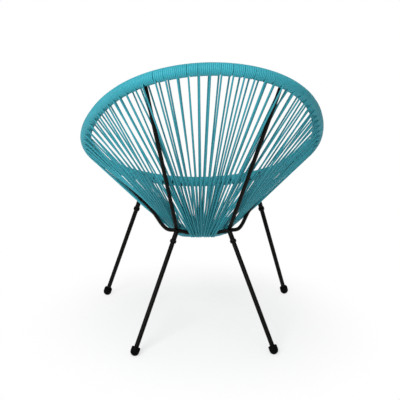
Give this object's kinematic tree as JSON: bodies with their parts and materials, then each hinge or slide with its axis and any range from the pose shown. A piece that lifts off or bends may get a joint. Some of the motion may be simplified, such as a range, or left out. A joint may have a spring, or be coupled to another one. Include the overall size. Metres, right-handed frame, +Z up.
{
  "type": "acapulco chair",
  "caption": "Patio lounge chair: a wrapped steel hoop strung with cord to a rear bar and a seat loop, on bent rods and screw-in legs.",
  "frame": {"origin": "on the floor, under the middle of the chair's overall box", "axes": "+Z up, the front of the seat faces -Y, the sitter's left is +X"},
  "size_m": [0.766, 0.7375, 0.8993],
  "materials": {
    "black_steel": "satin black powder coat",
    "zinc_steel": "bright zinc plate on threaded studs",
    "black_plastic": "matt black moulded foot caps",
    "teal_cord": "smooth teal PVC cord with a soft sheen"
  },
  "bodies": {
    "root": {"outer_hoop": "black_steel", "under_frame": "black_steel", "seat_loop": "black_steel", "back_strut_left": "black_steel", "back_strut_right": "black_steel", "leg_socket_rear_left": "black_steel", "leg_socket_rear_right": "black_steel", "leg_stud_rear_left": "zinc_steel", "leg_stud_rear_right": "zinc_steel", "leg_collar_rear_left": "black_steel", "leg_collar_rear_right": "black_steel", "leg_tube_rear_left": "black_steel", "leg_tube_rear_right": "black_steel", "foot_cap_rear_left": "black_plastic", "foot_cap_rear_right": "black_plastic", "leg_socket_front_left": "black_steel", "leg_socket_front_right": "black_steel", "leg_stud_front_left": "zinc_steel", "leg_stud_front_right": "zinc_steel", "leg_collar_front_left": "black_steel", "leg_collar_front_right": "black_steel", "leg_tube_front_left": "black_steel", "leg_tube_front_right": "black_steel", "foot_cap_front_left": "black_plastic", "foot_cap_front_right": "black_plastic", "cord_back_left": "teal_cord", "cord_back_right": "teal_cord", "cord_shoulder_left": "teal_cord", "cord_shoulder_right": "teal_cord", "cord_upper_side_left": "teal_cord", "cord_upper_side_right": "teal_cord", "cord_arm_left": "teal_cord", "cord_arm_right": "teal_cord", "cord_lower_side_left": "teal_cord", "cord_lower_side_right": "teal_cord", "cord_hip_left": "teal_cord", "cord_hip_right": "teal_cord", "cord_thigh_left": "teal_cord", "cord_thigh_right": "teal_cord", "cord_lip_left": "teal_cord", "cord_lip_right": "teal_cord", "cord_bar_winding": "teal_cord", "cord_loop_winding": "teal_cord"}
  },
  "joints": []
}
